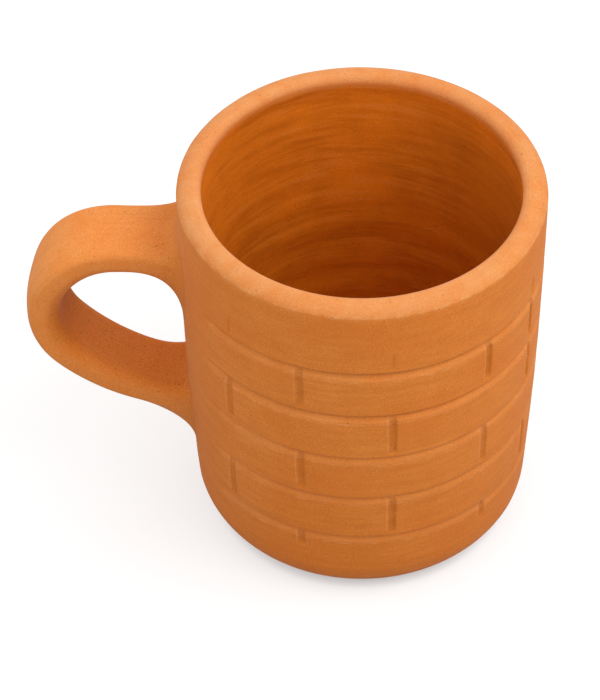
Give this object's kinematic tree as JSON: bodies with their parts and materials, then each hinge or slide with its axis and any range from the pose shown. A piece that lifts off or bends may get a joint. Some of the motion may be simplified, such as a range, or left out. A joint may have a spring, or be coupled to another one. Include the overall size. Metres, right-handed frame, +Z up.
{
  "type": "mug",
  "caption": "Thrown terracotta mug with an incised brick pattern, a rounded lip and a pulled strap handle; it holds a hot drink and stands on its flat base.",
  "frame": {"origin": "on the cup's axis, at the flat base that stands on the table", "axes": "+Z is up along the cup's axis, -X points to the handle, -Y is the front with the brick pattern"},
  "size_m": [0.1231, 0.0866, 0.099],
  "materials": {
    "thrown_terracotta": "matte",
    "pulled_terracotta": "matte",
    "luted_terracotta": "matte"
  },
  "bodies": {
    "root": {"cup_body": "thrown_terracotta", "handle": "pulled_terracotta", "upper_root_coil": "luted_terracotta", "lower_root_coil": "luted_terracotta"}
  },
  "joints": []
}
